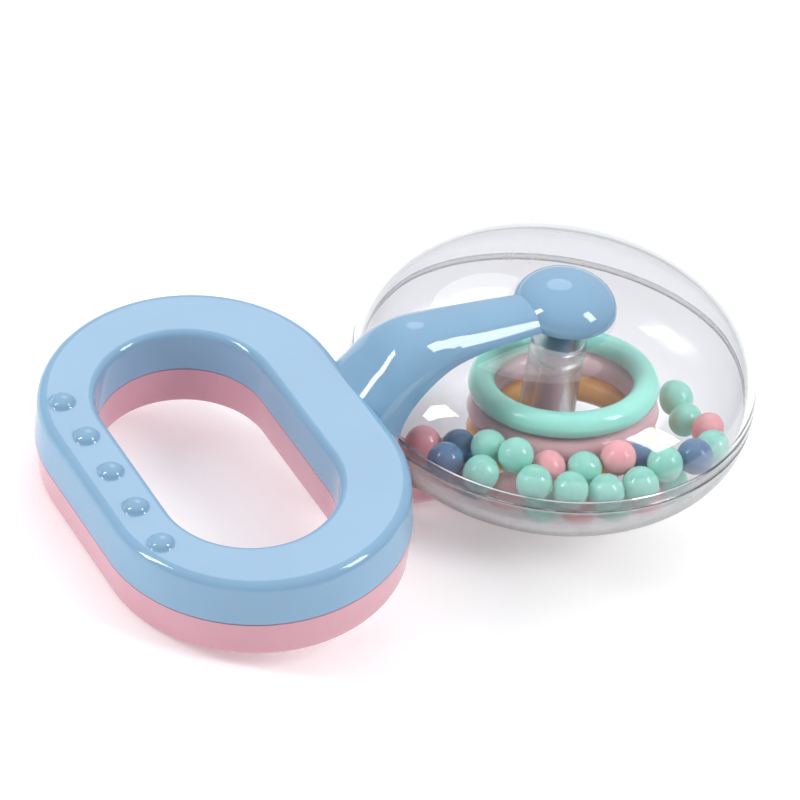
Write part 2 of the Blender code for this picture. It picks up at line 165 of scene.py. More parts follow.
# Loose rings and beads
LOOSE_RING_SECTION = 2.2
LOOSE_RING_STEPS = 40
LOOSE_RING_COLUMNS = 144
PARTING_RIDGE = 0.05
BEAD_RADIUS = 3.0
BEAD_GATE_MARK = 0.12
BEAD_DIMPLE = 0.06
BEAD_RIDGE = 0.03
BEAD_STEPS = 32
BEAD_COLUMNS = 48

# Camera, in the handle frame: the angles and distance from which the rattle is seen
CAMERA_PITCH = math.radians(42.16)
CAMERA_YAW = math.radians(-29.93)
CAMERA_ROLL = math.radians(2.58)
CAMERA_DISTANCE = 760.7
CAMERA_TARGET = (35.6, 2.1, 0.0)
CAMERA_LENS = 203.4

# Distance of the lights from the rattle, in metres
LIGHT_DISTANCE = 0.9

# Finishes. Roughness and haze are the shader's own, from 0 to 1. Spans are distances from the head's axis.
PLASTIC_ROUGHNESS = 0.045
PLASTIC_PEEL = 0.004
PLASTIC_IOR = 1.6
CLEAR_IOR = 1.5
SUBSURFACE_WEIGHT = 0.06
SUBSURFACE_SCALE = 1.2
TUBE_HAZE = (0.18, 0.24)
TUBE_SPAN = (5.3, 5.9)
# Painted shade: the span from the head's axis over which the clear tint darkens towards the rim
RIM_PAINTED_SHADE_SPAN = (27.0, 34.5)
RIM_SPAN = (29.0, 33.0)
BAND_SPAN = (33.0, 33.5)
BAND_HEIGHTS = (1.3, 1.9)
BAND_HAZE = 0.04
# Painted shade: the share of the clear tint that is left at the rim
RIM_PAINTED_SHADE = 0.91
FLOOR_GLOW = 0.24

record = frame["record"]
joints = {joint["name"]: joint for joint in frame["joints"]}
mounts = {mount["name"]: mount for mount in record["mounts"]}
slots = {entry["node"]: entry["material_slot"] for entry in record["subparts"]}


# Frames


def frame_matrix(origin, z_axis):
    """A frame in millimetres with the given origin (in metres) and Z, and its Y as near +Y as can be."""
    z = Vector(z_axis).normalized()
    x = Vector((0.0, 1.0, 0.0)).cross(z).normalized()
    y = z.cross(x)
    turn = Matrix((x, y, z)).transposed().to_4x4()
    return Matrix.Translation(Vector(origin)) @ turn @ Matrix.Scale(MM, 4)


def handle_frame():
    top = mounts["ring_top"]
    at_spot = frame_matrix(top["pos_m"], top["axis"])
    return at_spot @ Matrix.Translation((-TOP_SPOT_X, 0.0, -RING_HALF_HEIGHT))


HANDLE = handle_frame()
HEAD = frame_matrix(joints["head_spin"]["pos_m"], joints["head_spin"]["axis"])
HEAD_AXIS = (HEAD.to_3x3() @ Vector((0.0, 0.0, 1.0))).normalized()
STACK_AXIS = joints["ring_stack_turn"]["axis"]


# Mesh helpers


def mesh_object(name, points, faces, place):
    mesh = bpy.data.meshes.new(name)
    mesh.from_pydata([place @ Vector(point) for point in points], [], faces)
    mesh.validate()
    obj = bpy.data.objects.new(name, mesh)
    bpy.context.scene.collection.objects.link(obj)
    bm = bmesh.new()
    bm.from_mesh(mesh)
    bmesh.ops.recalc_face_normals(bm, faces=bm.faces)
    bm.to_mesh(mesh)
    bm.free()
    return obj


def grid_faces(rows, columns, joined_ends):
    """Quads of a grid whose points run row by row. Each row is a closed loop, and the last row may join the
    first."""
    faces = []
    for row in range(rows if joined_ends else rows - 1):
        after_row = (row + 1) % rows
        for column in range(columns):
            after = (column + 1) % columns
            faces.append(
                (
                    row * columns + column,
                    row * columns + after,
                    after_row * columns + after,
                    after_row * columns + column,
                )
            )
    return faces


def lathe(name, profile, columns, place):
    """A closed (radius, height) profile turned round Z. A point at radius 0 stays a single point."""
    points = []
    rings = []
    for radius, height in profile:
        if radius < 1e-6:
            rings.append([len(points)] * columns)
            points.append((0.0, 0.0, height))
            continue
        rings.append(list(range(len(points), len(points) + columns)))
        for column in range(columns):
            angle = 2.0 * math.pi * column / columns
            points.append((radius * math.cos(angle), radius * math.sin(angle), height))
    faces = []
    for ring, after_ring in zip(rings, rings[1:] + rings[:1]):
        for column in range(columns):
            after = (column + 1) % columns
            corners = [ring[column], ring[after], after_ring[after], after_ring[column]]
            face = list(dict.fromkeys(corners))
            if len(face) > 2:
                faces.append(face)
    return mesh_object(name, points, faces, place)


def evaluated_copy(obj):
    bpy.context.view_layer.update()
    graph = bpy.context.evaluated_depsgraph_get()
    return bpy.data.meshes.new_from_object(obj.evaluated_get(graph), depsgraph=graph)


def combine(obj, other, operation):
    """Boolean of two mesh objects with the EXACT solver, applied at once. It uses the other object up."""
    modifier = obj.modifiers.new(operation.lower(), "BOOLEAN")
    modifier.operation = operation
    modifier.solver = "EXACT"
    modifier.object = other
    mesh = evaluated_copy(obj)
    obj.modifiers.clear()
    obj.data = mesh
    bpy.data.objects.remove(other, do_unlink=True)


def shade(obj, sharp_angle=32.0):
    """Smooth shading that stays flat on flat faces and crisp at the moulding's sharp lines."""
    obj.data.shade_smooth()
    obj.data.set_sharp_from_angle(angle=math.radians(sharp_angle))
    weighted = obj.modifiers.new("weighted_normals", "WEIGHTED_NORMAL")
    weighted.mode = "FACE_AREA"
    weighted.weight = 50
    weighted.keep_sharp = True


def rounded_profile(corners, steps=4):
    """A closed profile from (radius, height, rounding) corners. A corner with a rounding becomes a curve."""
    points = []
    count = len(corners)
    for index, (radius, height, rounding) in enumerate(corners):
        here = Vector((radius, height))
        if rounding <= 0.0:
            points.append(tuple(here))
            continue
        before = Vector(corners[index - 1][:2]) - here
        after = Vector(corners[(index + 1) % count][:2]) - here
        reach = min(rounding, 0.49 * before.length, 0.49 * after.length)
        start = here + before.normalized() * reach
        end = here + after.normalized() * reach
        for step in range(steps + 1):
            t = step / steps
            points.append(tuple(start * (1 - t) ** 2 + here * 2 * t * (1 - t) + end * t**2))
    return points


def piece(obj, name, body, nodes, material):
    """Names a finished mesh, gives it its material and lets it stand for its CAD nodes on their body."""
    obj.name = name
    obj.data.name = name
    obj.data.materials.clear()
    obj.data.materials.append(material)
    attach(obj, body)
    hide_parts(*nodes)
    return obj


# Handle


def oval_columns():
    """Columns round both ovals of the ring: the outward direction (x, y) and the place along the straight
    side, from 1 on the arc at +Y to -1 on the arc at -Y."""
    columns = []
    for side in (1.0, -1.0):
        for step in range(ARC_COLUMNS):
            angle = math.pi * (step / ARC_COLUMNS + (0.0 if side > 0.0 else 1.0))
            columns.append((math.cos(angle), math.sin(angle), side))
        for step in range(STRAIGHT_COLUMNS):
            columns.append((-side, 0.0, side * (1.0 - 2.0 * step / STRAIGHT_COLUMNS)))
    return columns


def outer_wall(height):
    return RING_RADIUS - RING_DRAFT * height / RING_HALF_HEIGHT


def hole_wall(height):
    return HOLE_RADIUS + HOLE_DRAFT * height / RING_HALF_HEIGHT


def ring_section():
    """Rows of the ring's section, from the seam up the outer wall, over the top and down the hole: (share of
    the way from the outer oval to the hole, outer radius, hole radius, height)."""
    seam = SEAM_HALF_GAP
    rows = [
        (0.0, RING_RADIUS - SEAM_BEVEL, 0.0, seam),
        (0.0, RING_RADIUS - SEAM_BEVEL_MIDDLE, 0.0, seam + SEAM_BEVEL_MIDDLE),
        (0.0, RING_RADIUS, 0.0, seam + SEAM_BEVEL),
    ]
    fillet_foot = RING_HALF_HEIGHT - OUTER_FILLET
    for step in range(1, WALL_STEPS):
        height = seam + SEAM_BEVEL + (fillet_foot - seam - SEAM_BEVEL) * step / WALL_STEPS
        rows.append((0.0, outer_wall(height), 0.0, height))
    for step in range(OUTER_FILLET_STEPS + 1):
        angle = 0.5 * math.pi * step / OUTER_FILLET_STEPS
        radius = outer_wall(fillet_foot) - OUTER_FILLET * (1.0 - math.cos(angle))
        rows.append((0.0, radius, 0.0, fillet_foot + OUTER_FILLET * math.sin(angle)))
    outer_edge = outer_wall(fillet_foot) - OUTER_FILLET
    hole_edge = hole_wall(RING_HALF_HEIGHT) + HOLE_FILLET
    for step in range(1, TOP_STEPS):
        rows.append((step / TOP_STEPS, outer_edge, hole_edge, RING_HALF_HEIGHT))
    for step in range(HOLE_FILLET_STEPS + 1):
        angle = 0.5 * math.pi * (1.0 - step / HOLE_FILLET_STEPS)
        radius = hole_edge - HOLE_FILLET * math.cos(angle)
        height = RING_HALF_HEIGHT - HOLE_FILLET * (1.0 - math.sin(angle))
        rows.append((1.0, 0.0, radius, height))
    for step in range(1, WALL_STEPS):
        height = (RING_HALF_HEIGHT - HOLE_FILLET) * (1.0 - step / WALL_STEPS)
        rows.append((1.0, 0.0, hole_wall(height), height))
    rows.append((1.0, 0.0, HOLE_RADIUS, seam + SEAM_BEVEL))
    rows.append((1.0, 0.0, HOLE_RADIUS + SEAM_BEVEL_MIDDLE, seam + SEAM_BEVEL_MIDDLE))
    rows.append((1.0, 0.0, HOLE_RADIUS + SEAM_BEVEL, seam))
    return rows


def ring_half(name, upper):
    side = 1.0 if upper else -1.0
    columns = oval_columns()
    rows = ring_section()
    points = []
    for share, outer, hole, height in rows:
        for x, y, along in columns:
            outer_x = RING_CENTRE_X + outer * x
            outer_y = RING_STRAIGHT * along + outer * y
            hole_x = hole * x
            hole_y = HOLE_STRAIGHT * along + hole * y
            points.append(
                (
                    (1.0 - share) * outer_x + share * hole_x,
                    (1.0 - share) * outer_y + share * hole_y,
                    side * height,
                )
            )
    return mesh_object(name, points, grid_faces(len(rows), len(columns), True), HANDLE)


def smooth_stations(stations):
    """Extra stations between the given ones, on a Catmull-Rom curve through them."""
    rows = [np.array(station) for station in stations]
    padded = [2 * rows[0] - rows[1]] + rows + [2 * rows[-1] - rows[-2]]
    result = []
    for index in range(1, len(padded) - 2):
        before, start, end, after = padded[index - 1 : index + 3]
        for part in range(ARM_STATION_PARTS):
            t = part / ARM_STATION_PARTS
            curve = 2 * start + (end - before) * t + (2 * before - 5 * start + 4 * end - after) * t**2
            curve = curve + (3 * start - before - 3 * end + after) * t**3
            result.append(tuple(curve / 2))
    result.append(tuple(rows[-1]))
    return result


def head_side(upper):
    """The head frame, turned over for what sits below the head."""
    return HEAD if upper else HEAD @ Matrix.Rotation(math.pi, 4, "X")


def crown_point(angle, half_width, drop, share):
    """A point of the arm's crown, from its foot level: an ellipse, or the faceted form that the arm has
    near the boss. That has a low arched top, and on each side a crease with a flat facet down to the foot."""
    across, upwards = abs(math.cos(angle)), math.sin(angle)
    round_reach = ((across / half_width) ** 2 + (upwards / drop) ** 2) ** -0.5
    crease_y, crease_z = CREASE_REACH * half_width, CREASE_HEIGHT * drop
    facet = half_width * crease_z / (crease_z * across + (half_width - crease_y) * upwards)
    arch_share = (1.0 - CREASE_HEIGHT**2) / crease_y**2
    arch = (arch_share * across**2 + (upwards / drop) ** 2) ** -0.5
    power = -CREASE_SHARPNESS
    faceted_reach = (facet**power + arch**power) ** (1.0 / power)
    reach = (1.0 - share) * round_reach + share * faceted_reach
    return reach * math.cos(angle), reach * upwards


def arm(name, upper):
    """A loft through the stations: straight flanks from the base, closed by the crown."""
    root = ARM_ROOT_UPPER if upper else ARM_ROOT_LOWER
    points = []
    stations = smooth_stations(root + ARM_REACH)
    for x, crown, half_width, drop, share in stations:
        share = min(max(share, 0.0), 1.0)
        points.append((x, -half_width, ARM_BASE))
        for step in range(ARM_CROWN_STEPS + 1):
            angle = math.pi * (1.0 - step / ARM_CROWN_STEPS)
            y, z = crown_point(angle, half_width, drop, share)
            points.append((x, y, crown - drop + z))
        points.append((x, half_width, ARM_BASE))
    count = ARM_CROWN_STEPS + 3
    faces = grid_faces(len(stations), count, False)
    faces.append(tuple(range(count)))
    faces.append(tuple(range(len(points) - count, len(points)))[::-1])
    return mesh_object(name, points, faces, head_side(upper))


def smoothstep(value):
    value = min(max(value, 0.0), 1.0)
    return value * value * (3.0 - 2.0 * value)


def dome_curve(shell_radius, shell_height, dip, from_radius, to_height, steps):
    """(radius, height) points of the head's skin, from the pivot out and down to the given height."""
    points = []
    for step in range(steps, -1, -1):
        angle = 0.5 * math.pi * step / steps
        cosine, sine = math.cos(angle), math.sin(angle)
        scale = (cosine**HEAD_POWER + sine**HEAD_POWER) ** (-1.0 / HEAD_POWER)
        radius = shell_radius * scale * cosine
        blend = smoothstep((radius - SEAT_FLAT) / (SEAT_REACH - SEAT_FLAT))
        height = shell_height * scale * sine - dip * (1.0 - blend)
        if radius > from_radius and height > to_height:
            points.append((radius, height))
    return [(from_radius, shell_height - dip)] + points


def head_clearance():
    """The head's outer form grown by the running gap, which the arms stay out of."""
    radius = HEAD_RADIUS + RUNNING_GAP
    half_height = HEAD_HALF_HEIGHT + RUNNING_GAP
    skin = dome_curve(radius, half_height, SEAT_DIP, 0.0, 0.5, CLEARANCE_STEPS)
    profile = skin + [(radius, 0.0)] + [(out, -up) for out, up in skin[::-1]]
    return lathe("head_clearance", profile, HEAD_COLUMNS, HEAD)


def below_seam(name, upper):
    """A block on the side of the seam plane where this half has no material."""
    side = 1.0 if upper else -1.0
    bm = bmesh.new()
    bmesh.ops.create_cube(bm, size=1.0)
    place = Matrix.Translation((SEAM_BLOCK_X, 0.0, side * (SEAM_HALF_GAP - SEAM_BLOCK[2] / 2.0)))
    grown = HANDLE @ place @ Matrix.Diagonal((*SEAM_BLOCK, 1.0))
    bmesh.ops.transform(bm, matrix=grown, verts=bm.verts)
    mesh = bpy.data.meshes.new(name)
    bm.to_mesh(mesh)
    bm.free()
    block = bpy.data.objects.new(name, mesh)
    bpy.context.scene.collection.objects.link(block)
    return block


def boss_and_pin(name, upper):
    """The mushroom boss with its pivot pin, as one turned shape."""
    seat = HEAD_HALF_HEIGHT - SEAT_DIP + BOSS_SEAT_GAP
    pin_end = UPPER_PIN_END if upper else -LOWER_PIN_END
    profile = []
    for step in range(BOSS_CROWN_STEPS + 1):
        angle = 0.5 * math.pi * step / BOSS_CROWN_STEPS
        height = seat + BOSS_EDGE + (BOSS_HEIGHT - BOSS_EDGE) * math.cos(angle)
        profile.append((BOSS_RADIUS * math.sin(angle), height))
    for step in range(1, BOSS_EDGE_STEPS + 1):
        angle = 0.5 * math.pi * step / BOSS_EDGE_STEPS
        radius = BOSS_RADIUS - BOSS_EDGE * (1.0 - math.cos(angle))
        profile.append((radius, seat + BOSS_EDGE * (1.0 - math.sin(angle))))
    profile += [
        (PIN_RADIUS + PIN_FILLET, seat),
        (PIN_RADIUS, seat - PIN_FILLET),
        (PIN_RADIUS, pin_end + 0.5),
        (PIN_RADIUS - 0.15, pin_end + 0.15),
        (PIN_RADIUS - 0.5, pin_end),
        (0.0, pin_end),
    ]
    return lathe(name, profile, BOSS_COLUMNS, head_side(upper))


def nub(index):
    """One nub: a low dome on a soft foot that runs out into the ring's top face."""
    profile = []
    shoulder = NUB_SHOULDER
    for step in range(NUB_STEPS):
        radius = shoulder * step / (NUB_STEPS - 1)
        profile.append((radius, NUB_HEIGHT * math.sqrt(1.0 - (radius / NUB_RADIUS) ** 2)))
    start = profile[-1][1]
    slope = -NUB_HEIGHT * shoulder / NUB_RADIUS**2 / math.sqrt(1.0 - (shoulder / NUB_RADIUS) ** 2)
    reach = NUB_FOOT - shoulder
    for step in range(1, NUB_STEPS + 1):
        t = step / NUB_STEPS
        height = start * (1.0 + 2.0 * t) * (1.0 - t) ** 2 + slope * reach * t * (1.0 - t) ** 2
        profile.append((shoulder + reach * t, height - NUB_FOOT_SINK * t))
    profile += [(NUB_FOOT - 0.3, -NUB_ROOT_DEPTH), (0.0, -NUB_ROOT_DEPTH)]
    spot = (NUB_X, (index - (NUB_COUNT - 1) / 2.0) * NUB_PITCH, RING_HALF_HEIGHT)
    return lathe("nub", profile, NUB_COLUMNS, HANDLE @ Matrix.Translation(spot))


def handle_half(upper, material):
    name = "blue_handle_half" if upper else "pink_handle_half"
    node = "blue_handle_shell" if upper else "pink_handle_shell"
    shape = arm(name, upper)
    combine(shape, head_clearance(), "DIFFERENCE")
    combine(shape, below_seam("seam_block", upper), "DIFFERENCE")
    combine(shape, ring_half("ring", upper), "UNION")
    combine(shape, boss_and_pin("boss", upper), "UNION")
    if upper:
        for index in range(NUB_COUNT):
            combine(shape, nub(index), "UNION")
    shade(shape)
    return piece(shape, name, "handle", [node], material)


# Clear head


def dome_skins(skin_foot, lining_foot):
    """The outer skin and the inner lining of a clear half, down to the given heights."""
    skin = dome_curve(HEAD_RADIUS, HEAD_HALF_HEIGHT, SEAT_DIP, TUBE_BORE, skin_foot, HEAD_STEPS)
    lining = dome_curve(LINING_RADIUS, LINING_HALF_HEIGHT, LINING_DIP, TUBE_RADIUS, lining_foot, HEAD_STEPS)
    return skin, lining


def clear_upper(material):
    """The upper half. Its rim laps outside the lower one's, and its tube takes the lower tube's spigot."""
    skin, lining = dome_skins(BAND_TOP + 0.5, LAP_HEIGHT + 0.1)
    corners = [(*skin[0], 0.25)]
    corners += [(*point, 0.0) for point in skin[1:]]
    corners += [
        (HEAD_RADIUS, BAND_TOP + 0.3, 0.2),
        (BAND_RADIUS, BAND_TOP - 0.1, 0.3),
        (BAND_RADIUS, UPPER_LIP_FOOT + 0.15, 0.2),
        (BAND_RADIUS - LIP_STEP, UPPER_LIP_FOOT, 0.05),
        (LAP_RADIUS + LAP_GAP / 2.0, UPPER_LIP_FOOT, 0.1),
        (LAP_RADIUS + LAP_GAP / 2.0, LAP_HEIGHT, 0.1),
        (LINING_RADIUS, LAP_HEIGHT, 0.1),
    ]
    corners += [(*point, 0.0) for point in lining[:0:-1]]
    corners += [
        (*lining[0], 1.2),
        (TUBE_RADIUS, TUBE_JOINT + 0.9, 0.1),
        (TUBE_RADIUS + TUBE_COLLAR, TUBE_JOINT + 0.75, 0.1),
        (TUBE_RADIUS + TUBE_COLLAR, TUBE_JOINT + 0.1, 0.15),
        (TUBE_RADIUS - 0.3, TUBE_JOINT, 0.15),
        (TUBE_BORE + 1.0, TUBE_JOINT, 0.15),
        (TUBE_BORE + 1.0, TUBE_JOINT + TUBE_SPIGOT, 0.1),
        (TUBE_BORE, TUBE_JOINT + TUBE_SPIGOT, 0.2),
    ]
    dome = lathe("clear_upper", rounded_profile(corners), HEAD_COLUMNS, HEAD)
    shade(dome)
    node = "clear_upper_dome"
    return piece(dome, "clear_head_top", "head", [node], material)


def clear_lower(material):
    """The lower half, drawn upside down and turned over. Its tube ends in the spigot."""
    skin, lining = dome_skins(-BAND_FOOT + 0.5, 0.2)
    joint = LAP_GAP - TUBE_JOINT
    corners = [(*skin[0], 0.25)]
    corners += [(*point, 0.0) for point in skin[1:]]
    corners += [
        (HEAD_RADIUS, -BAND_FOOT + 0.3, 0.2),
        (BAND_RADIUS, -BAND_FOOT - 0.1, 0.3),
        (BAND_RADIUS, LOWER_LIP_TOP + 0.17, 0.1),
        (BAND_RADIUS - LIP_STEP, LOWER_LIP_TOP, 0.05),
        (LAP_RADIUS - LAP_GAP / 2.0, LOWER_LIP_TOP, 0.1),
        (LAP_RADIUS - LAP_GAP / 2.0, -LAP_HEIGHT + LAP_GAP, 0.1),
        (LINING_RADIUS, -LAP_HEIGHT + LAP_GAP, 0.2),
    ]
    corners += [(*point, 0.0) for point in lining[:0:-1]]
    corners += [
        (*lining[0], 1.2),
        (TUBE_RADIUS, joint + 1.35, 0.1),
        (TUBE_RADIUS - 0.15, joint + 1.2, 0.1),
        (TUBE_RADIUS - 0.15, joint, 0.2),
        (TUBE_BORE + 0.92, joint, 0.15),
        (TUBE_BORE + 0.92, -TUBE_JOINT - TUBE_SPIGOT + 0.1, 0.2),
        (TUBE_BORE, -TUBE_JOINT - TUBE_SPIGOT + 0.1, 0.2),
    ]
    dome = lathe("clear_lower", rounded_profile(corners), HEAD_COLUMNS, head_side(False))
    shade(dome)
    node = "clear_lower_dome"
    return piece(dome, "clear_head_bottom", "head", [node], material)


# Rings and beads


def centre_of(node):
    low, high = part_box(node)
    return (low + high) / 2.0


def loose_ring(node, name, body, material):
    """A round ring with a fine parting line inside and outside. It sits at its CAD node's centre, square to
    the stack's axis."""
    low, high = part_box(node)
    lean = Vector(STACK_AXIS).normalized()
    reach = math.sqrt(1.0 - lean.x**2)
    ring_radius = ((high.x - low.x) / 2.0 / MM - LOOSE_RING_SECTION) / reach
    profile = []
    for step in range(LOOSE_RING_STEPS):
        angle = 0.5 * math.pi - 2.0 * math.pi * step / LOOSE_RING_STEPS
        section = LOOSE_RING_SECTION
        if abs(math.sin(angle)) < 1e-6:
            section += PARTING_RIDGE
        profile.append((ring_radius + section * math.cos(angle), section * math.sin(angle)))
    ring = lathe(name, profile, LOOSE_RING_COLUMNS, frame_matrix(centre_of(node), STACK_AXIS))
    shade(ring, 60.0)
    return piece(ring, name, body, [node], material)


def bead_mesh():
    """A moulded bead: a ball with a fine parting ridge, and a gate mark and a dimple at its poles."""
    profile = []
    for step in range(BEAD_STEPS + 1):
        angle = math.pi * (0.5 - step / BEAD_STEPS)
        radius = BEAD_RADIUS
        if step == 0:
            radius -= BEAD_GATE_MARK
        if step == BEAD_STEPS:
            radius -= BEAD_DIMPLE
        if step == BEAD_STEPS // 2:
            radius += BEAD_RIDGE
        profile.append((max(radius * math.cos(angle), 0.0), radius * math.sin(angle)))
    profile[0] = (0.0, profile[0][1])
    profile[-1] = (0.0, profile[-1][1])
    shape = lathe("bead_shape", profile, BEAD_COLUMNS, Matrix.Scale(MM, 4))
    mesh = shape.data
    bpy.data.objects.remove(shape, do_unlink=True)
    mesh.shade_smooth()
    return mesh


def beads(materials):
    draw = random.Random(11)
    shape = bead_mesh()
    nodes = sorted(node for node in frame["nodes"] if node.startswith("bead_"))
    for node in nodes:
        slot_name = slots[node]
        ball = bpy.data.objects.new("ball", shape.copy())
        bpy.context.scene.collection.objects.link(ball)
        ball.location = centre_of(node)
        ball.rotation_euler = [draw.uniform(0.0, 2.0 * math.pi) for _ in range(3)]
        name = node.replace("bead", "ball")
        piece(ball, name, "bead_heap", [node], materials[slot_name])


# Materials


def new_material(name):
    material = bpy.data.materials.new(name)
    material.use_nodes = True
    nodes = material.node_tree.nodes
    shader = nodes["Principled BSDF"]
    return material, nodes, material.node_tree.links, shader


def noise(nodes, links, coordinates, scale, detail, roughness=0.5):
    node = nodes.new("ShaderNodeTexNoise")
    node.inputs["Scale"].default_value = scale
    node.inputs["Detail"].default_value = detail
    node.inputs["Roughness"].default_value = roughness
    links.new(coordinates, node.inputs["Vector"])
    return node.outputs["Fac"]


def value_range(nodes, links, value, low, high, out_low, out_high):
    node = nodes.new("ShaderNodeMapRange")
    node.inputs["From Min"].default_value = low
    node.inputs["From Max"].default_value = high
    node.inputs["To Min"].default_value = out_low
    node.inputs["To Max"].default_value = out_high
    links.new(value, node.inputs["Value"])
    return node.outputs["Result"]


def length_ramp(nodes, links, length, span, out_low, out_high):
    """A ramp over a length in metres, between two ends given in millimetres."""
    return value_range(nodes, links, length, span[0] * MM, span[1] * MM, out_low, out_high)


def mix_colour(nodes, links, share, first, second):
    node = nodes.new("ShaderNodeMix")
    node.data_type = "RGBA"
    node.inputs["A"].default_value = (*first, 1.0)
    node.inputs["B"].default_value = (*second, 1.0)
    links.new(share, node.inputs["Factor"])
    return node.outputs["Result"]


def object_coordinates(nodes):
    return nodes.new("ShaderNodeTexCoord").outputs["Object"]


def moulded_plastic(name, colour):
    """Glossy moulded plastic: faint flow mottling in the colour, and orange peel and rubbing in the gloss."""
    material, nodes, links, shader = new_material(name)
    place = object_coordinates(nodes)
    flow = noise(nodes, links, place, 55.0, 3.0)
    darker = tuple(channel * 0.965 for channel in colour)
    lighter = tuple(min(channel * 1.02, 1.0) for channel in colour)
    share = value_range(nodes, links, flow, 0.35, 0.65, 0.0, 1.0)
    links.new(mix_colour(nodes, links, share, darker, lighter), shader.inputs["Base Color"])
    rubbing = noise(nodes, links, place, 420.0, 5.0, 0.65)
    smoothest, dullest = PLASTIC_ROUGHNESS - 0.02, PLASTIC_ROUGHNESS + 0.04
    gloss = value_range(nodes, links, rubbing, 0.35, 0.7, smoothest, dullest)
    links.new(gloss, shader.inputs["Roughness"])
    bump = nodes.new("ShaderNodeBump")
    bump.inputs["Strength"].default_value = 0.35
    bump.inputs["Distance"].default_value = PLASTIC_PEEL * MM
    links.new(noise(nodes, links, place, 700.0, 2.0), bump.inputs["Height"])
    links.new(bump.outputs["Normal"], shader.inputs["Normal"])
    shader.inputs["IOR"].default_value = PLASTIC_IOR
    shader.inputs["Subsurface Weight"].default_value = SUBSURFACE_WEIGHT
    shader.inputs["Subsurface Radius"].default_value = (1.0, 0.8, 0.7)
    shader.inputs["Subsurface Scale"].default_value = SUBSURFACE_SCALE * MM
    return material


def vector_step(nodes, links, operation, vector, constant=None):
    node = nodes.new("ShaderNodeVectorMath")
    node.operation = operation
    links.new(vector, node.inputs[0])
    if constant is not None:
        node.inputs[1].default_value = constant
    return node.outputs


def from_head_axis(nodes, links, place):
    """Distance from the head's pivot axis, in metres."""
    shifted = vector_step(nodes, links, "SUBTRACT", place, HEAD.translation)["Vector"]
    crossed = vector_step(nodes, links, "CROSS_PRODUCT", shifted, HEAD_AXIS)["Vector"]
    return vector_step(nodes, links, "LENGTH", crossed)["Value"]


def along_head_axis(nodes, links, place):
    """Height above the head's middle plane, in metres."""
    shifted = vector_step(nodes, links, "SUBTRACT", place, HEAD.translation)["Vector"]
    return vector_step(nodes, links, "DOT_PRODUCT", shifted, HEAD_AXIS)["Value"]


def arithmetic(nodes, links, operation, first, second):
    node = nodes.new("ShaderNodeMath")
    node.operation = operation
    links.new(first, node.inputs[0])
    if isinstance(second, float):
        node.inputs[1].default_value = second
    else:
        links.new(second, node.inputs[1])
    return node.outputs["Value"]


def clear_plastic(name, tint, haze_depth, rim_haze):
    """Clear moulded plastic with faint handling marks, fine lines round its frosted central tube, and a duller
    rim, with painted shade that greys its tint towards the rim. Shadow rays pass it, so the lamps light what lies
    inside."""
    material, nodes, links, shader = new_material(name)
    place = object_coordinates(nodes)
    shader.inputs["Transmission Weight"].default_value = 1.0
    shader.inputs["IOR"].default_value = CLEAR_IOR
    axis_distance = from_head_axis(nodes, links, place)
    # Painted shade: the tint is darkened towards the head's rim, by distance from its axis
    rim_shade_colour = tuple(channel * RIM_PAINTED_SHADE for channel in tint)
    rim_shade_share = length_ramp(nodes, links, axis_distance, RIM_PAINTED_SHADE_SPAN, 0.0, 1.0)
    links.new(mix_colour(nodes, links, rim_shade_share, tint, rim_shade_colour), shader.inputs["Base Color"])
    on_tube = length_ramp(nodes, links, axis_distance, TUBE_SPAN, 1.0, 0.0)
    on_rim = length_ramp(nodes, links, axis_distance, RIM_SPAN, 0.0, rim_haze)
    height = along_head_axis(nodes, links, place)
    from_seam = arithmetic(nodes, links, "ABSOLUTE", height, 0.0)
    by_height = length_ramp(nodes, links, from_seam, BAND_HEIGHTS, BAND_HAZE, 0.0)
    by_distance = length_ramp(nodes, links, axis_distance, BAND_SPAN, 0.0, 1.0)
    on_band = arithmetic(nodes, links, "MULTIPLY", by_height, by_distance)
    haze = noise(nodes, links, place, 160.0, 6.0, 0.7)
    marks = value_range(nodes, links, haze, 0.5, 0.8, 0.0, haze_depth)
    tube_grain = noise(nodes, links, place, 500.0, 2.0)
    tube_haze = value_range(nodes, links, tube_grain, 0.3, 0.7, *TUBE_HAZE)
    tube_share = arithmetic(nodes, links, "MULTIPLY", on_tube, tube_haze)
    roughness = arithmetic(nodes, links, "ADD", marks, on_rim)
    roughness = arithmetic(nodes, links, "ADD", roughness, on_band)
    roughness = arithmetic(nodes, links, "ADD", roughness, tube_share)
    links.new(roughness, shader.inputs["Roughness"])
    rings = nodes.new("ShaderNodeTexNoise")
    rings.noise_dimensions = "1D"
    rings.inputs["Scale"].default_value = 1300.0
    rings.inputs["Detail"].default_value = 2.0
    links.new(height, rings.inputs["W"])
    lines = arithmetic(nodes, links, "MULTIPLY", on_tube, rings.outputs["Fac"])
    waves = arithmetic(nodes, links, "MULTIPLY", noise(nodes, links, place, 90.0, 2.0), 0.5)
    bump = nodes.new("ShaderNodeBump")
    bump.inputs["Strength"].default_value = 0.15
    bump.inputs["Distance"].default_value = 0.03 * MM
    links.new(arithmetic(nodes, links, "ADD", waves, lines), bump.inputs["Height"])
    links.new(bump.outputs["Normal"], shader.inputs["Normal"])
    path = nodes.new("ShaderNodeLightPath")
    through = nodes.new("ShaderNodeBsdfTransparent")
    through.inputs["Color"].default_value = (0.93, 0.935, 0.945, 1.0)
    mix = nodes.new("ShaderNodeMixShader")
    links.new(path.outputs["Is Shadow Ray"], mix.inputs["Fac"])
    links.new(shader.outputs["BSDF"], mix.inputs[1])
    links.new(through.outputs["BSDF"], mix.inputs[2])
    links.new(mix.outputs["Shader"], nodes["Material Output"].inputs["Surface"])
    return material


# Stage


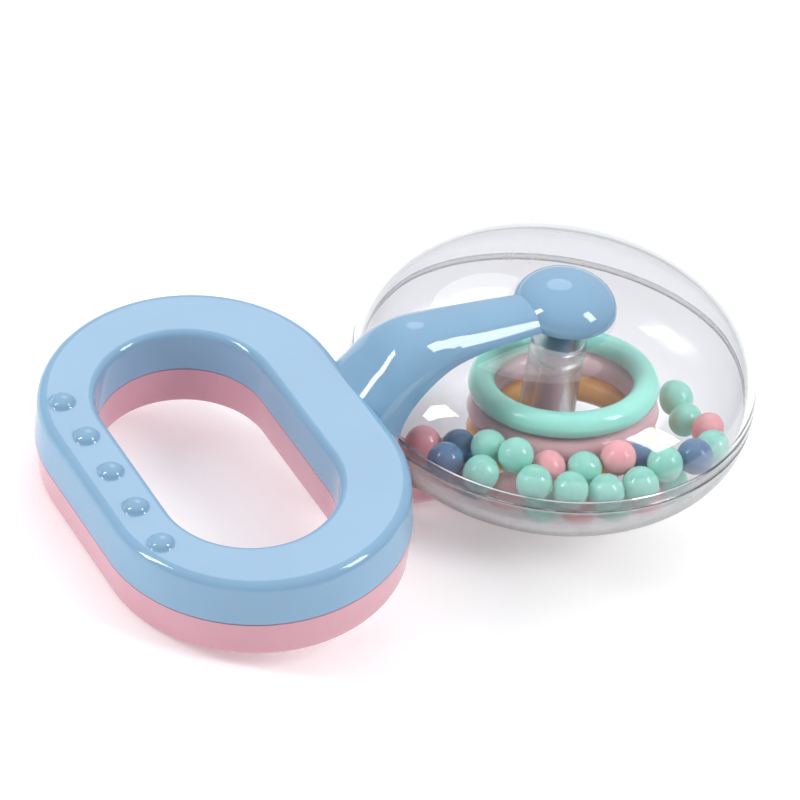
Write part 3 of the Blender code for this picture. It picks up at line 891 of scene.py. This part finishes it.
def floor():
    bm = bmesh.new()
    bmesh.ops.create_circle(bm, cap_ends=True, segments=96, radius=3.0)
    mesh = bpy.data.meshes.new("floor")
    bm.to_mesh(mesh)
    bm.free()
    obj = bpy.data.objects.new("floor", mesh)
    bpy.context.scene.collection.objects.link(obj)
    material, nodes, links, shader = new_material("pale_floor")
    place = object_coordinates(nodes)
    share = noise(nodes, links, place, 3.0, 2.0)
    colour = mix_colour(nodes, links, share, (0.9, 0.9, 0.905), (0.92, 0.92, 0.92))
    links.new(colour, shader.inputs["Base Color"])
    shader.inputs["Roughness"].default_value = 0.7
    shader.inputs["Specular IOR Level"].default_value = 0.2
    shader.inputs["Emission Color"].default_value = (1.0, 1.0, 1.0, 1.0)
    shader.inputs["Emission Strength"].default_value = FLOOR_GLOW
    mesh.materials.append(material)


def world_light(low, high):
    """Soft surroundings, brightest high up behind the rattle and dimmest low in front of it."""
    world = bpy.data.worlds.new("studio")
    world.use_nodes = True
    nodes = world.node_tree.nodes
    links = world.node_tree.links
    background = nodes["Background"]
    background.inputs["Color"].default_value = (0.97, 0.985, 1.0, 1.0)
    sky = nodes.new("ShaderNodeTexCoord").outputs["Generated"]
    towards_bright = vector_step(nodes, links, "DOT_PRODUCT", sky, direction(150.0, 62.0))["Value"]
    strength = value_range(nodes, links, towards_bright, -0.1, 1.0, low, high)
    links.new(strength, background.inputs["Strength"])
    bpy.context.scene.world = world


def direction(azimuth, elevation):
    """A unit vector. Azimuth 0 is on the -Y side and 90 on the +X side, in degrees."""
    turn, rise = math.radians(azimuth), math.radians(elevation)
    return Vector((math.sin(turn) * math.cos(rise), -math.cos(turn) * math.cos(rise), math.sin(rise)))


def softbox(name, azimuth, elevation, size, power, shape="RECTANGLE"):
    """An area light aimed at the rattle. Its size is in metres and its power in watts."""
    away = direction(azimuth, elevation)
    light = bpy.data.lights.new(name, "AREA")
    light.shape = shape
    light.size = size[0]
    if shape == "RECTANGLE":
        light.size_y = size[1]
    light.energy = power
    obj = bpy.data.objects.new(name, light)
    obj.location = away * LIGHT_DISTANCE
    obj.rotation_euler = away.to_track_quat("Z", "Y").to_euler()
    obj.visible_camera = False
    bpy.context.scene.collection.objects.link(obj)


def camera():
    yaw, pitch, roll = CAMERA_YAW, CAMERA_PITCH, CAMERA_ROLL
    back = Vector((math.sin(yaw) * math.cos(pitch), -math.cos(yaw) * math.cos(pitch), math.sin(pitch)))
    level_right = Vector((math.cos(yaw), math.sin(yaw), 0.0))
    level_up = back.cross(level_right)
    right = math.cos(roll) * level_right + math.sin(roll) * level_up
    up = -math.sin(roll) * level_right + math.cos(roll) * level_up
    data = bpy.data.cameras.new("camera")
    data.lens = CAMERA_LENS
    data.sensor_width = 36.0
    data.clip_start = 0.01
    obj = bpy.data.objects.new("camera", data)
    bpy.context.scene.collection.objects.link(obj)
    turn = HANDLE.to_3x3().normalized() @ Matrix((right, up, back)).transposed()
    place = HANDLE @ (Vector(CAMERA_TARGET) + back * CAMERA_DISTANCE)
    obj.matrix_world = Matrix.Translation(place) @ turn.to_4x4()
    bpy.context.scene.camera = obj


blue = moulded_plastic("blue_plastic", (0.235, 0.415, 0.60))
pink = moulded_plastic("pink_plastic", (0.68, 0.34, 0.41))
mint = moulded_plastic("mint_plastic", (0.34, 0.82, 0.68))
bead_mint = moulded_plastic("bead_mint_plastic", (0.35, 0.76, 0.63))
coral = moulded_plastic("bead_pink_plastic", (0.98, 0.43, 0.46))
mauve = moulded_plastic("ring_pink_plastic", (0.72, 0.43, 0.46))
slate = moulded_plastic("bead_blue_plastic", (0.14, 0.24, 0.40))
yellow = moulded_plastic("yellow_plastic", (0.95, 0.43, 0.07))
clear_top = clear_plastic("clear_plastic", (0.86, 0.865, 0.885), haze_depth=0.04, rim_haze=0.0)
clear_bottom = clear_plastic("clear_plastic_below", (0.81, 0.805, 0.82), haze_depth=0.08, rim_haze=0.2)

handle_half(True, blue)
handle_half(False, pink)
clear_upper(clear_top)
clear_lower(clear_bottom)
loose_ring("mint_ring", "loose_ring_mint", "mint_ring_body", mint)
loose_ring("pink_ring", "loose_ring_pink", "pink_ring_body", mauve)
loose_ring("yellow_ring", "loose_ring_yellow", "yellow_ring_body", yellow)
beads({"mint": bead_mint, "bead_pink": coral, "bead_blue": slate})

floor()
world_light(low=0.26, high=1.0)
softbox("left_window", azimuth=-104.0, elevation=30.0, size=(0.13, 0.48), power=2.8)
softbox("right_window", azimuth=39.0, elevation=49.0, size=(0.21, 0.42), power=2.8)
softbox("back_disc", azimuth=163.0, elevation=50.0, size=(0.38, 0.38), power=0.6, shape="DISK")
camera()
bpy.context.scene.view_settings.view_transform = "Standard"
